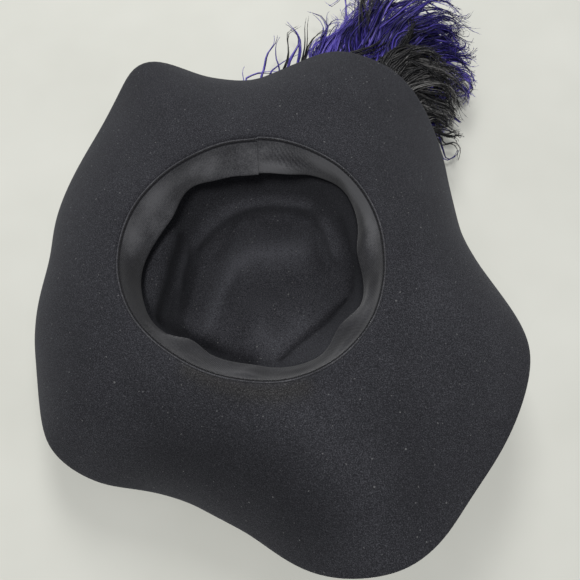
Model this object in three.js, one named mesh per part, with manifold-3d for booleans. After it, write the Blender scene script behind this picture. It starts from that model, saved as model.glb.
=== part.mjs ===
// Cavalier hat of black wool felt, lying upside down on its crown, with two ostrich plumes.
//
// Millimetres, +Z up. The origin is the middle of the flat of the crown's tip, on which the hat rests.
// +Y is the back of the hat, -Y its front, and +X the wearer's right, so the opening faces up.
// Azimuths are degrees round the hat, anticlockwise from +X as seen from above.

import * as THREE from "three";
import Module from "manifold-3d";

const wasm = await Module();
wasm.setup();

// Driving dimensions, in millimetres.
const headWidth = 185; // opening from ear to ear
const headLength = 181; // opening from front to back
const crownHeight = 115; // from the tip up to the line where the brim begins
const brimWidth = 131; // along the felt, from the opening to the cut edge
const feltThickness = 2.2;
const breakRadius = 3.5; // middle of the felt, where the crown turns over into the brim
const bandWidth = 35;
const bandThickness = 1.0;
const bandLap = 12; // how far one end of the sweatband covers the other
const bandMargin = 3; // straight wall left below the sweatband
const clearance = 0.3; // gap left between separate pieces
const bandEase = 0.5; // gap between the sweatband and the crown's uneven wall
const quillDiameter = 4;
const quillTipDiameter = 1.6;
const purpleLength = 274;
const blackLength = 218;
const purpleBarb = 125;
const blackBarb = 104;
const lockWidth = 25;
const lockThickness = 6;
const pinWidth = 4;
const pinThickness = 1.2;

// Proportions of the blocked felt.
const settle = 0.35; // how far the tip is pressed flat by the weight of the hat
const rootDroop = 0.3; // droop where the brim begins, as a share of its droop at the edge
const bandRise = 0.7; // the sweatband's top edge below the line of the brim
const seamAzimuth = 88; // where the sweatband laps, at the back
const pinAzimuth = 118; // where the staple holds the quills, on the crown

// How the meshes are divided.
const columns = 72;
const brimRings = 6;
const breakRings = 3;
const quillSides = 6;
const quillStations = 24;
const lockStations = 4;
const locksPerSide = 9;
const routeSteps = 60;
const seatSteps = 400; // places looked at along a quill to find where the staple crosses it

// Rows of a table, each with the named columns.
function table(names, rows) {
  return rows.map((row) => Object.fromEntries(names.map((name, k) => [name, row[k]])));
}

// Folds of the brim. droop is the slope of the felt at the cut edge, in degrees below level.
const brimFolds = table(
  ["azimuth", "droop"],
  [
    [5, 67],
    [15, 73],
    [27, 67],
    [39, 52],
    [60, 29],
    [70, 30],
    [82, 46],
    [93, 56],
    [103, 51],
    [118, 29],
    [127, 43],
    [138, 55],
    [162, 69],
    [176, 75],
    [200, 69],
    [211, 62],
    [221, 54],
    [234, 62],
    [244, 74],
    [253, 77],
    [262, 72],
    [271, 62],
    [279, 40],
    [287, 22],
    [295, 12.5],
    [303, 19],
    [314, 30],
    [331, 34],
    [344, 39],
    [355, 54],
  ],
);

// Dents of the crown, from the opening down to the middle of the tip. rim, foot, fold, shoulder,
// valley and ridge are distances from the middle as shares of the head's oval: the opening, the foot
// of the straight wall, the wall's fold, the step at the edge of the tip, the hollow inside it and the
// raised ring. drop is the fold's height as a share of the wall's, step and rise the heights of the
// step and of the ring as shares of the crown's.
const crownDents = table(
  ["azimuth", "rim", "foot", "fold", "drop", "shoulder", "step", "valley", "ridge", "rise"],
  [
    [5, 1.0, 1.0, 0.97, 0.5, 0.88, 0.05, 0.74, 0.5, 0.05],
    [20, 1.0, 1.0, 0.97, 0.5, 0.86, 0.08, 0.73, 0.52, 0.06],
    [33, 1.0, 1.03, 1.0, 0.5, 0.88, 0.1, 0.72, 0.54, 0.07],
    [46, 1.0, 1.06, 1.04, 0.5, 0.95, 0.1, 0.83, 0.6, 0.08],
    [58, 0.99, 1.03, 1.05, 0.5, 0.99, 0.1, 0.91, 0.56, 0.08],
    [76, 0.99, 1.0, 1.0, 0.45, 0.93, 0.1, 0.81, 0.5, 0.08],
    [92, 0.98, 0.98, 0.97, 0.45, 0.9, 0.1, 0.8, 0.46, 0.08],
    [107, 0.96, 0.97, 0.96, 0.45, 0.86, 0.1, 0.77, 0.45, 0.08],
    [123, 0.95, 0.97, 0.96, 0.55, 0.81, 0.1, 0.66, 0.45, 0.07],
    [142, 0.96, 0.97, 0.88, 0.74, 0.75, 0.1, 0.63, 0.4, 0.07],
    [160, 0.98, 0.98, 0.77, 0.74, 0.69, 0.1, 0.61, 0.38, 0.06],
    [176, 0.99, 0.99, 0.76, 0.74, 0.68, 0.09, 0.61, 0.39, 0.06],
    [190, 1.0, 1.0, 0.81, 0.74, 0.73, 0.07, 0.65, 0.42, 0.05],
    [205, 1.0, 1.0, 0.91, 0.7, 0.78, 0.05, 0.7, 0.45, 0.05],
    [236, 0.98, 0.98, 0.86, 0.5, 0.68, 0.05, 0.6, 0.4, 0.02],
    [264, 1.0, 1.0, 0.85, 0.5, 0.69, 0.05, 0.61, 0.35, 0.0],
    [290, 1.05, 1.05, 0.88, 0.5, 0.68, 0.05, 0.62, 0.35, 0.0],
    [306, 1.06, 1.06, 0.87, 0.5, 0.65, 0.05, 0.59, 0.35, 0.01],
    [327, 1.05, 1.05, 0.88, 0.5, 0.69, 0.05, 0.63, 0.36, 0.03],
    [346, 1.02, 1.02, 0.92, 0.5, 0.78, 0.05, 0.71, 0.42, 0.05],
  ],
);
const bowlReach = 0.5; // the flat in the middle, as a share of the raised ring's distance

// How far the sweatband's free edge leans in from the crown, as a share of its width.
const bandRipples = table(
  ["azimuth", "lean"],
  [
    [8, 0.34],
    [24, 0.11],
    [42, 0.0],
    [58, 0.04],
    [74, 0.23],
    [100, 0.28],
    [112, 0.26],
    [127, 0.11],
    [150, 0.37],
    [164, 0.33],
    [182, 0.2],
    [204, 0.14],
    [218, 0.22],
    [233, 0.5],
    [248, 0.42],
    [268, 0.45],
    [292, 0.37],
    [306, 0.32],
    [324, 0.49],
    [343, 0.22],
  ],
);

// Across the sweatband: share of its width from the top edge, and share of the lean reached there.
const bandStations = [
  { across: 0, leaned: 0 },
  { across: (breakRadius - bandRise) / bandWidth, leaned: 0 },
  { across: 0.5, leaned: 0.3 },
  { across: 1, leaned: 1 },
];

// Routes of the quills. reach runs from the crown's wall at 0 to the brim's edge at 1, and rise is
// the height as a share of the height under the brim, or under its edge where the plume is past it.
const purpleRoute = table(
  ["azimuth", "reach", "rise"],
  [
    [126, 0.0, 0.55],
    [110, 0.0, 0.55],
    [102, 0.15, 0.53],
    [92, 0.43, 0.5],
    [78, 0.67, 0.5],
    [66, 0.91, 0.5],
    [58, 1.13, 0.5],
    [52, 1.22, 0.5],
    [47, 1.24, 0.5],
    [42, 1.22, 0.5],
    [34, 1.26, 0.5],
    [24, 1.3, 0.5],
  ],
);
const blackRoute = table(
  ["azimuth", "reach", "rise"],
  [
    [125, 0.0, 0.63],
    [110, 0.0, 0.65],
    [102, 0.06, 0.7],
    [92, 0.2, 0.76],
    [77, 0.39, 0.78],
    [62, 0.58, 0.78],
    [48, 0.75, 0.78],
    [40, 0.86, 0.78],
    [36, 0.88, 0.78],
    [30, 0.88, 0.78],
    [20, 0.85, 0.78],
    [8, 0.82, 0.78],
  ],
);

// Locks of barbs along a quill. length is a share of the plume's barb, spread the angle from the
// quill and curl how much of it is bent back towards the tip, both in degrees.
const purpleLocks = table(
  ["along", "length", "spread", "curl"],
  [
    [0.32, 0.3, 50, 10],
    [0.5, 0.9, 62, 25],
    [0.65, 1.0, 62, 40],
    [0.8, 0.85, 58, 50],
    [0.9, 0.6, 48, 60],
    [1.0, 0.36, 30, 50],
  ],
);
const blackLocks = table(
  ["along", "length", "spread", "curl"],
  [
    [0.34, 0.3, 50, 10],
    [0.55, 0.75, 62, 30],
    [0.7, 1.0, 62, 45],
    [0.85, 0.9, 60, 75],
    [0.93, 0.7, 52, 80],
    [1.0, 0.4, 30, 60],
  ],
);

const felt = new THREE.MeshStandardMaterial({ color: "#3a3a3d", roughness: 0.95, metalness: 0 });
const ribbon = new THREE.MeshStandardMaterial({ color: "#3c3c40", roughness: 0.7, metalness: 0 });
const purple = new THREE.MeshStandardMaterial({ color: "#3c2896", roughness: 0.6, metalness: 0 });
const black = new THREE.MeshStandardMaterial({ color: "#24231f", roughness: 0.6, metalness: 0 });
const wire = new THREE.MeshStandardMaterial({ color: "#30302f", roughness: 0.4, metalness: 0.9 });

// One column of a table of folds at any azimuth, smooth all the way round and with no overshoot.
function around(rows, column, azimuth) {
  const count = rows.length;
  const turned = THREE.MathUtils.euclideanModulo(azimuth, 360);
  const found = rows.findIndex((row) => row.azimuth > turned);
  const next = found < 0 ? count : found;
  const row = (k) => rows[THREE.MathUtils.euclideanModulo(k, count)];
  const place = (k) => row(k).azimuth + 360 * Math.floor(k / count);
  const slope = (k) => (row(k + 1)[column] - row(k)[column]) / (place(k + 1) - place(k));
  const tangent = (k) => {
    const before = slope(k - 1);
    const after = slope(k);
    return before * after > 0 ? (2 * before * after) / (before + after) : 0;
  };
  const from = next - 1;
  const span = place(next) - place(from);
  const t = (turned - place(from)) / span;
  const start = row(from)[column];
  const end = row(next)[column];
  const hermite = t * t * (3 - 2 * t);
  return (
    start * (1 - hermite) +
    end * hermite +
    span * (t * (1 - t) * (1 - t) * tangent(from) - t * t * (1 - t) * tangent(next))
  );
}

// One column of a table whose rows follow each other along a length.
function along(rows, key, column, value) {
  const last = rows.length - 1;
  const found = rows.findIndex((row) => row[key] >= value);
  const next = found < 0 ? last : Math.max(found, 1);
  const [a, b] = [rows[next - 1], rows[next]];
  const share = THREE.MathUtils.clamp((value - a[key]) / (b[key] - a[key]), 0, 1);
  return THREE.MathUtils.lerp(a[column], b[column], THREE.MathUtils.smoothstep(share, 0, 1));
}

// The head's oval before its dents.
function headRadius(azimuth) {
  const angle = THREE.MathUtils.degToRad(azimuth);
  const [a, b] = [headWidth / 2, headLength / 2];
  return (a * b) / Math.hypot(b * Math.cos(angle), a * Math.sin(angle));
}

function polar(radius, azimuth, height) {
  const angle = THREE.MathUtils.degToRad(azimuth);
  return new THREE.Vector3(radius * Math.cos(angle), radius * Math.sin(angle), height);
}

const wallTop = crownHeight - breakRadius;
const wallFoot = wallTop - bandWidth - bandMargin;

// Middle of the felt at the opening's edge.
function rimRadius(azimuth) {
  return around(crownDents, "rim", azimuth) * headRadius(azimuth) + feltThickness / 2;
}

// Middle of the felt from the tip's bowl up to the straight wall, as (distance, height) pairs.
function crownSection(azimuth) {
  const share = (column) => around(crownDents, column, azimuth);
  const head = headRadius(azimuth);
  const floor = feltThickness / 2 - settle;
  const places = [
    [share("ridge") * bowlReach * head, floor],
    [share("ridge") * head, floor + share("rise") * crownHeight],
    [share("valley") * head, floor],
    [share("shoulder") * head, floor + share("step") * crownHeight],
    [share("fold") * head, share("drop") * wallFoot],
    [share("foot") * head + feltThickness / 2, wallFoot],
  ];
  const points = places.map(([reach, up]) => new THREE.Vector3(reach, 0, up));
  const curve = new THREE.CatmullRomCurve3(points, false, "centripetal");
  const section = curve.getPoints(2 * (points.length - 1)).map((p) => new THREE.Vector2(p.x, p.z));
  section.push(new THREE.Vector2(rimRadius(azimuth), wallTop));
  return section;
}

// The turn over the break and the drooping brim, which follow on from the straight wall.
function brimSection(azimuth) {
  const rim = rimRadius(azimuth);
  const droop = THREE.MathUtils.degToRad(around(brimFolds, "droop", azimuth));
  const turn = Math.PI / 2 + droop * rootDroop;
  const section = [];
  for (let k = 1; k <= breakRings; k += 1) {
    const angle = Math.PI - (turn * k) / breakRings;
    section.push(
      new THREE.Vector2(
        rim + breakRadius * (1 + Math.cos(angle)),
        wallTop + breakRadius * Math.sin(angle),
      ),
    );
  }
  const step = (brimWidth - breakRadius) / brimRings;
  for (let k = 0; k < brimRings; k += 1) {
    const share = (k + 0.5) / brimRings;
    const slope = droop * THREE.MathUtils.lerp(rootDroop, 1, share);
    const before = section[section.length - 1];
    section.push(
      new THREE.Vector2(before.x + step * Math.cos(slope), before.y - step * Math.sin(slope)),
    );
  }
  return section;
}

// The two faces of the felt, as columns of points from the tip to the cut edge.
function feltFaces() {
  const centre = new THREE.Vector3(0, 0, feltThickness / 2);
  const middle = [];
  for (let i = 0; i < columns; i += 1) {
    const azimuth = (360 * i) / columns;
    const section = [...crownSection(azimuth), ...brimSection(azimuth)];
    middle.push(section.map((point) => polar(point.x, azimuth, point.y)));
  }
  const rings = middle[0].length;
  const inside = [];
  const outside = [];
  for (let i = 0; i < columns; i += 1) {
    const here = middle[i];
    const left = middle[(i + 1) % columns];
    const right = middle[(i + columns - 1) % columns];
    inside.push([]);
    outside.push([]);
    for (let j = 0; j < rings; j += 1) {
      const inner = j > 0 ? here[j - 1] : centre;
      const outer = here[Math.min(j + 1, rings - 1)];
      const normal = outer.clone().sub(inner).cross(left[j].clone().sub(right[j])).normalize();
      const up = here[j].clone().addScaledVector(normal, feltThickness / 2);
      const down = here[j].clone().addScaledVector(normal, -feltThickness / 2);
      up.z = Math.max(up.z, feltThickness);
      down.z = Math.max(down.z, 0);
      inside[i].push(up);
      outside[i].push(down);
    }
  }
  return { inside, outside, rings };
}

const faces = feltFaces();
const wallRings = [6, 12]; // from the step at the edge of the tip to the first ring of the break
const brimRingSpan = [11 + breakRings, faces.rings - 1];

// A point of one face of the felt at an azimuth, where a measure of its points reaches a value.
function onFace(face, span, measure, azimuth, value) {
  const turned = THREE.MathUtils.euclideanModulo(azimuth, 360) / (360 / columns);
  const first = Math.floor(turned) % columns;
  const ends = [first, (first + 1) % columns].map((i) => {
    let j = span[0];
    while (j < span[1] - 1 && measure(face[i][j + 1]) < value) j += 1;
    const [a, b] = [face[i][j], face[i][j + 1]];
    const share = (value - measure(a)) / (measure(b) - measure(a));
    return a.clone().lerp(b, THREE.MathUtils.clamp(share, 0, 1));
  });
  return ends[0].lerp(ends[1], turned - Math.floor(turned));
}

const height = (point) => point.z;
const distance = (point) => Math.hypot(point.x, point.y);
const azimuthOf = (point) => THREE.MathUtils.radToDeg(Math.atan2(point.y, point.x));

function wallRadius(face, azimuth, z) {
  return distance(onFace(face, wallRings, height, azimuth, z));
}

function underBrim(azimuth, radius) {
  return onFace(faces.outside, brimRingSpan, distance, azimuth, radius).z;
}

function edgeRadius(azimuth) {
  return distance(onFace(faces.outside, brimRingSpan, distance, azimuth, Infinity));
}

// A closed mesh from points and triangles, turned so that its faces point out.
function closedGeometry(points, triangles) {
  const edge = new THREE.Vector3();
  let volume = 0;
  for (const [a, b, c] of triangles) {
    volume += points[a].dot(edge.crossVectors(points[b], points[c]));
  }
  const turned = volume < 0 ? triangles.map(([a, b, c]) => [a, c, b]) : triangles;
  const geometry = new THREE.BufferGeometry();
  geometry.setFromPoints(points);
  geometry.setIndex(turned.flat());
  return geometry;
}

// A solid through a row of sections that have the same, even number of points.
function loft(sections) {
  const size = sections[0].length;
  const triangles = [];
  for (let i = 0; i < sections.length - 1; i += 1) {
    for (let k = 0; k < size; k += 1) {
      const a = i * size + k;
      const b = i * size + ((k + 1) % size);
      triangles.push([a, b, b + size], [a, b + size, a + size]);
    }
  }
  const end = (sections.length - 1) * size;
  for (let k = 0; k < size / 2 - 1; k += 1) {
    const across = size - 1 - k;
    triangles.push([k, across - 1, k + 1], [k, across, across - 1]);
    triangles.push([end + k, end + k + 1, end + across - 1]);
    triangles.push([end + k, end + across - 1, end + across]);
  }
  return closedGeometry(sections.flat(), triangles);
}

function makeFelt() {
  const { inside, outside, rings } = faces;
  const points = [new THREE.Vector3(0, 0, feltThickness), ...inside.flat()];
  const below = points.length;
  points.push(new THREE.Vector3(0, 0, 0), ...outside.flat());
  const upper = (i, j) => 1 + (i % columns) * rings + j;
  const lower = (i, j) => below + 1 + (i % columns) * rings + j;
  const triangles = [];
  for (let i = 0; i < columns; i += 1) {
    triangles.push([0, upper(i, 0), upper(i + 1, 0)]);
    triangles.push([below, lower(i + 1, 0), lower(i, 0)]);
    for (let j = 0; j < rings - 1; j += 1) {
      triangles.push([upper(i, j), upper(i, j + 1), upper(i + 1, j + 1)]);
      triangles.push([upper(i, j), upper(i + 1, j + 1), upper(i + 1, j)]);
      triangles.push([lower(i, j), lower(i + 1, j + 1), lower(i, j + 1)]);
      triangles.push([lower(i, j), lower(i + 1, j), lower(i + 1, j + 1)]);
    }
    const edge = rings - 1;
    triangles.push([upper(i, edge), lower(i, edge), lower(i + 1, edge)]);
    triangles.push([upper(i, edge), lower(i + 1, edge), upper(i + 1, edge)]);
  }
  return closedGeometry(points, triangles);
}

// One cut across the sweatband. lifted is how far it stands off the felt for the end under it.
function bandCut(azimuth, lifted) {
  const top = crownHeight - bandRise;
  const lean = around(bandRipples, "lean", azimuth) * bandWidth;
  const face = bandStations.map((station) => {
    const z = top - station.across * bandWidth;
    const wall = wallRadius(faces.inside, azimuth, z);
    return new THREE.Vector2(wall - bandEase - lifted - lean * station.leaned, z);
  });
  const back = face.map((point, k) => {
    const before = face[Math.max(k - 1, 0)];
    const after = face[Math.min(k + 1, face.length - 1)];
    const run = after.clone().sub(before).normalize();
    return new THREE.Vector2(point.x + run.y * bandThickness, point.y - run.x * bandThickness);
  });
  return [...face, ...back.reverse()].map((point) => polar(point.x, azimuth, point.y));
}

// The sweatband is one strip. Its left end lies over the right one at the back.
function makeSweatband() {
  const lap = THREE.MathUtils.radToDeg(bandLap / (headLength / 2));
  const step = 360 / columns;
  const start = seamAzimuth;
  const end = start + 360 + lap;
  const azimuths = [start];
  for (let k = Math.floor(start / step) + 1; k * step < end; k += 1) {
    azimuths.push(k * step);
  }
  azimuths.push(end);
  const over = bandThickness + clearance;
  const settled = start + 2 * lap;
  const sections = azimuths.map((azimuth) => {
    const lifted = over * (1 - THREE.MathUtils.smoothstep(azimuth, start + lap, settled));
    return bandCut(azimuth, lifted);
  });
  return loft(sections);
}

// A point of a plume: between crown and brim edge in plan, and a share of the way up to the brim.
function plumePoint({ x: azimuth, y: reach, z: rise }) {
  const wall = wallRadius(faces.outside, azimuth, rise * crownHeight);
  const root = wall + clearance + quillDiameter / 2;
  const radius = root + Math.max(reach, 0) * (edgeRadius(azimuth) - root);
  return polar(radius, azimuth, rise * underBrim(azimuth, radius));
}

// The places along a quill, as azimuth, reach and rise.
function quillPlaces(route, count) {
  const rows = route.map((row) => new THREE.Vector3(row.azimuth, row.reach, row.rise));
  return new THREE.CatmullRomCurve3(rows).getPoints(count);
}

function quillCurve(route) {
  return new THREE.CatmullRomCurve3(quillPlaces(route, routeSteps).map(plumePoint));
}

function quillGeometry(curve, length) {
  const total = curve.getLength();
  const sections = [];
  for (let i = 0; i <= quillStations; i += 1) {
    const share = i / quillStations;
    const u = Math.min((share * length) / total, 1);
    const centre = curve.getPointAt(u);
    const tangent = curve.getTangentAt(u);
    const side = new THREE.Vector3(-tangent.y, tangent.x, 0).normalize();
    const up = tangent.clone().cross(side);
    const radius = THREE.MathUtils.lerp(quillDiameter, quillTipDiameter, share) / 2;
    const section = [];
    for (let k = 0; k < quillSides; k += 1) {
      const angle = (2 * Math.PI * (k + 0.5)) / quillSides;
      const point = centre.clone().addScaledVector(side, radius * Math.cos(angle));
      section.push(point.addScaledVector(up, radius * Math.sin(angle)));
    }
    sections.push(section);
  }
  return loft(sections);
}

// A lock's section, as shares of its half width and half thickness.
const lockSection = [
  { across: 1, up: 0 },
  { across: 0, up: 1 },
  { across: -1, up: 0 },
  { across: 0, up: -1 },
];

// Fullness of a lock from its root on the quill to its tip.
const lockFullness = [
  { share: 0, full: 0.3 },
  { share: 0.35, full: 1 },
  { share: 0.7, full: 0.8 },
  { share: 1, full: 0.12 },
];

// A lock leaves the quill at an angle, bends back towards the plume's tip and keeps under the brim.
function lockGeometry(root, tangent, rise, side, length, spread, curl) {
  const heading = Math.atan2(tangent.y, tangent.x);
  const centre = root.clone();
  const sections = [];
  for (let i = 0; i <= lockStations; i += 1) {
    const share = i / lockStations;
    const bearing = heading + side * THREE.MathUtils.degToRad(spread - curl * share);
    const full = along(lockFullness, "share", "full", share);
    const section = lockSection.map(({ across, up }) => {
      const half = (across * full * lockWidth) / 2;
      const x = centre.x - half * Math.sin(bearing);
      const y = centre.y + half * Math.cos(bearing);
      const plan = new THREE.Vector3(x, y, 0);
      const roof = underBrim(azimuthOf(plan), distance(plan));
      return plan.setZ(rise * roof + (up * full * lockThickness) / 2);
    });
    sections.push(section);
    const step = length / lockStations;
    centre.x += step * Math.cos(bearing);
    centre.y += step * Math.sin(bearing);
  }
  return loft(sections);
}

function toSolid(geometry) {
  const vertProperties = Float32Array.from(geometry.attributes.position.array);
  const triVerts = Uint32Array.from(geometry.index.array);
  return new wasm.Manifold(new wasm.Mesh({ numProp: 3, vertProperties, triVerts }));
}

function toGeometry(solid) {
  const mesh = solid.getMesh();
  const geometry = new THREE.BufferGeometry();
  geometry.setAttribute("position", new THREE.BufferAttribute(mesh.vertProperties, 3));
  geometry.setIndex(new THREE.BufferAttribute(mesh.triVerts, 1));
  return geometry;
}

// A plume is its quill with locks of barbs on both sides and one at the tip, fused into one piece.
function makePlume({ route, locks, length, barb }) {
  const curve = quillCurve(route);
  const total = curve.getLength();
  let solid = toSolid(quillGeometry(curve, length));
  const grow = (share, side) => {
    const u = Math.min((share * length) / total, 1);
    const root = curve.getPointAt(u);
    const tangent = curve.getTangentAt(u);
    const azimuth = azimuthOf(root);
    const rise = root.z / underBrim(azimuth, distance(root));
    const spread = side === 0 ? 0 : along(locks, "along", "spread", share);
    const curl = side === 0 ? 0 : along(locks, "along", "curl", share);
    const full = along(locks, "along", "length", share) * barb;
    const wall = wallRadius(faces.outside, azimuth, root.z);
    const room = (distance(root) - wall - lockWidth / 2) / Math.sin(THREE.MathUtils.degToRad(spread));
    const reach = side < 0 ? Math.min(full, room) : full;
    if (reach > lockWidth / 2) {
      solid = solid.add(toSolid(lockGeometry(root, tangent, rise, side, reach, spread, curl)));
    }
  };
  const first = locks[0].along;
  for (let i = 0; i < locksPerSide; i += 1) {
    const share = first + ((1 - first) * i) / locksPerSide;
    grow(share, 1);
    grow(share, -1);
  }
  grow(1, 0);
  return toGeometry(solid);
}

// A staple over both quills, its legs standing on the crown's wall. x is out from the crown, y up.
function makePin() {
  const seat = (route) => {
    const off = (place) => Math.abs(place.x - pinAzimuth);
    const places = quillPlaces(route, seatSteps);
    return plumePoint(places.reduce((best, place) => (off(place) < off(best) ? place : best)));
  };
  const quills = [seat(purpleRoute), seat(blackRoute)];
  const room = quillDiameter / 2 + clearance;
  const low = quills[0].z - room;
  const high = quills[1].z + room;
  const back = Math.max(...quills.map(distance)) + room;
  const foot = (z) => wallRadius(faces.outside, pinAzimuth, z) + clearance;
  const outline = new THREE.Shape([
    new THREE.Vector2(foot(low), low),
    new THREE.Vector2(foot(low), low - pinThickness),
    new THREE.Vector2(back + pinThickness, low - pinThickness),
    new THREE.Vector2(back + pinThickness, high + pinThickness),
    new THREE.Vector2(foot(high + pinThickness), high + pinThickness),
    new THREE.Vector2(foot(high + pinThickness), high),
    new THREE.Vector2(back, high),
    new THREE.Vector2(back, low),
  ]);
  const geometry = new THREE.ExtrudeGeometry(outline, { depth: pinWidth, bevelEnabled: false });
  geometry.translate(0, 0, -pinWidth / 2);
  return geometry;
}

function mesh(name, geometry, material) {
  geometry.computeVertexNormals();
  const piece = new THREE.Mesh(geometry, material);
  piece.name = name;
  return piece;
}

const pin = mesh("plume_pin", makePin(), wire);
pin.rotation.x = Math.PI / 2;
const pinSeat = new THREE.Group();
pinSeat.rotation.z = THREE.MathUtils.degToRad(pinAzimuth);
pinSeat.add(pin);

const purplePlume = { route: purpleRoute, locks: purpleLocks, length: purpleLength, barb: purpleBarb };
const blackPlume = { route: blackRoute, locks: blackLocks, length: blackLength, barb: blackBarb };

const plumes = new THREE.Group();
plumes.add(
  mesh("plume_purple", makePlume(purplePlume), purple),
  mesh("plume_black", makePlume(blackPlume), black),
  pinSeat,
);

const hat = new THREE.Group();
hat.add(mesh("felt_body", makeFelt(), felt), mesh("sweatband", makeSweatband(), ribbon), plumes);

export default hat;
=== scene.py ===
# %% [markdown]
# # A cavalier hat, lying on its crown
#
# The hat is one body of black wool felt. It lies upside down, so the camera looks into the opening
# for the head. A ribbed ribbon lines that opening, and two ostrich plumes lie behind the brim.
# The solids come first, as a fixed frame, and each piece here is fitted to them. Everything is in
# metres, with the crown's tip on the floor at the origin, +Y the hat's back and +X the wearer's right.

# %% The frame and the tools
import math

import bmesh
import bpy
import numpy as np
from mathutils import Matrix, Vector
from mathutils.bvhtree import BVHTree


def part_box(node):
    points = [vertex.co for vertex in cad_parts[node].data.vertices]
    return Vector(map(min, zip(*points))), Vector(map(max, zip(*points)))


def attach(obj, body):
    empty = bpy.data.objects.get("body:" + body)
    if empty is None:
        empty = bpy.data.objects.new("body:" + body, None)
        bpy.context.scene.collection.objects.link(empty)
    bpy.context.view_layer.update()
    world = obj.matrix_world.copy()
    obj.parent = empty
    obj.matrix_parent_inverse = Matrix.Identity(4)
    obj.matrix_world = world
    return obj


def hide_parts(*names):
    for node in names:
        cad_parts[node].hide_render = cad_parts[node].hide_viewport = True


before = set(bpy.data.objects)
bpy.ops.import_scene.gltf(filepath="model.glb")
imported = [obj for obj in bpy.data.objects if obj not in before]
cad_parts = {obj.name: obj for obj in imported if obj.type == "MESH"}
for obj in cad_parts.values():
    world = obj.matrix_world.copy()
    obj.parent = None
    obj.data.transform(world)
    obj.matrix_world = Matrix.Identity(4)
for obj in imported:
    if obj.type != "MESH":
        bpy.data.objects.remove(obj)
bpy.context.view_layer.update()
MM = 0.001
chance = np.random.default_rng(7)

# %% [markdown]
# ## Camera, floor and light
#
# The picture was taken from almost straight above, 72 degrees above the floor, with a wide phone
# lens close to the hat. A lens of 37.9 mm from half a metre away gives the same strong perspective:
# the near side of the brim looks much larger than the far side. The floor is a plain pale plane.

# %% Camera
EYE = (0.0274, -0.1582, 0.5108)
DOWN = 72.0
bpy.ops.object.camera_add(location=EYE, rotation=(math.radians(90.0 - DOWN), 0.0, 0.0))
camera = bpy.context.active_object
camera.name = "camera"
camera.data.lens = 37.86
camera.data.sensor_width = 36.0
camera.data.clip_start = 0.01
bpy.context.scene.camera = camera
bpy.context.scene.view_settings.view_transform = "Standard"
print("camera at", EYE, "lens", camera.data.lens)


# %% A material with its own nodes
class Finish:
    """A new material, with short names for the nodes that its look is made of."""

    def __init__(self, name):
        self.material = bpy.data.materials.new(name)
        self.material.use_nodes = True
        self.shader = self.material.node_tree.nodes["Principled BSDF"]
        self.place = self.node("ShaderNodeTexCoord").outputs["Object"]

    def feed(self, node, inputs):
        """Sets inputs of a node. Each is a number, a colour or another node's output."""
        for key, value in dict(inputs).items():
            if isinstance(value, bpy.types.NodeSocket):
                self.material.node_tree.links.new(value, node.inputs[key])
            else:
                node.inputs[key].default_value = value

    def node(self, kind, inputs=(), **settings):
        made = self.material.node_tree.nodes.new(kind)
        for name, value in settings.items():
            setattr(made, name, value)
        self.feed(made, inputs)
        return made

    def noise(self, scale, detail=4.0, roughness=0.6):
        inputs = {"Scale": scale, "Detail": detail, "Roughness": roughness, "Vector": self.place}
        return self.node("ShaderNodeTexNoise", inputs).outputs["Fac"]

    def sums(self, operation, *values):
        """One arithmetic node."""
        return self.node("ShaderNodeMath", enumerate(values), operation=operation).outputs["Value"]

    def kept(self, name):
        """A number that is kept on the corners of the mesh."""
        return self.node("ShaderNodeAttribute", attribute_name=name).outputs["Fac"]

    def ramp(self, source, stops):
        """Turns a grey value into one of the colours of a list of (place, red, green, blue)."""
        node = self.node("ShaderNodeValToRGB", {"Fac": source})
        while len(node.color_ramp.elements) < len(stops):
            node.color_ramp.elements.new(0.5)
        for element, (place, *colour) in zip(node.color_ramp.elements, stops):
            element.position = place
            element.color = (*colour, 1.0)
        return node.outputs["Color"]

    def mix(self, share, under, over, blend="MIX"):
        """The colour under, with a share of the colour over on it."""
        inputs = {"Factor": share, 6: under, 7: over}
        return self.node("ShaderNodeMix", inputs, data_type="RGBA", blend_type=blend).outputs[2]

    def shade(self, colour, roughness, more=()):
        self.feed(self.shader, {"Base Color": colour, "Roughness": roughness, **dict(more)})

    def bump(self, height, distance, strength):
        inputs = {"Height": height, "Distance": distance, "Strength": strength}
        self.feed(self.shader, {"Normal": self.node("ShaderNodeBump", inputs).outputs["Normal"]})


# %% Floor
bpy.ops.object.select_all(action="DESELECT")
bpy.ops.mesh.primitive_plane_add(size=24.0, location=(0.0, 0.0, 0.0))
floor = bpy.context.active_object
floor.name = "floor"
paper = Finish("pale_floor")
pale = paper.ramp(paper.noise(6.0, 3.0), [(0.3, 0.66, 0.66, 0.6), (0.7, 0.72, 0.72, 0.66)])
paper.shade(pale, 0.9, {"Specular IOR Level": 0.2})
floor.data.materials.append(paper.material)


# %% Light
def soft_light(name, place, aim, size, watts):
    bpy.ops.object.light_add(type="AREA", location=place)
    light = bpy.context.active_object
    light.name = name
    light.data.size = size
    light.data.energy = watts
    light.rotation_euler = (Vector(aim) - Vector(place)).to_track_quat("-Z", "Y").to_euler()


soft_light("ceiling", (-0.1, -0.42, 1.75), (0.0, 0.0, 0.05), 0.25, 17.5)
soft_light("far_side", (-0.05, 1.15, 1.15), (0.0, 0.0, 0.1), 0.6, 11.0)
world = bpy.data.worlds.new("room")
bpy.context.scene.world = world
world.use_nodes = True
sky = world.node_tree.nodes["Background"].inputs
sky["Color"].default_value = (0.95, 0.97, 1.0, 1.0)
sky["Strength"].default_value = 0.24

# %% [markdown]
# ## The felt
#
# Crown and brim are one piece of felt, blocked over a wooden form and then crumpled by use. The
# solid already has the folds, so its mesh is copied, joined up into quads and smoothed with a
# Subdivision Surface. The cut edge is creased first, or the smoothing would eat into the brim, and
# a small bevel then takes the sharpness off it, as scissors and wear do.


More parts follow.
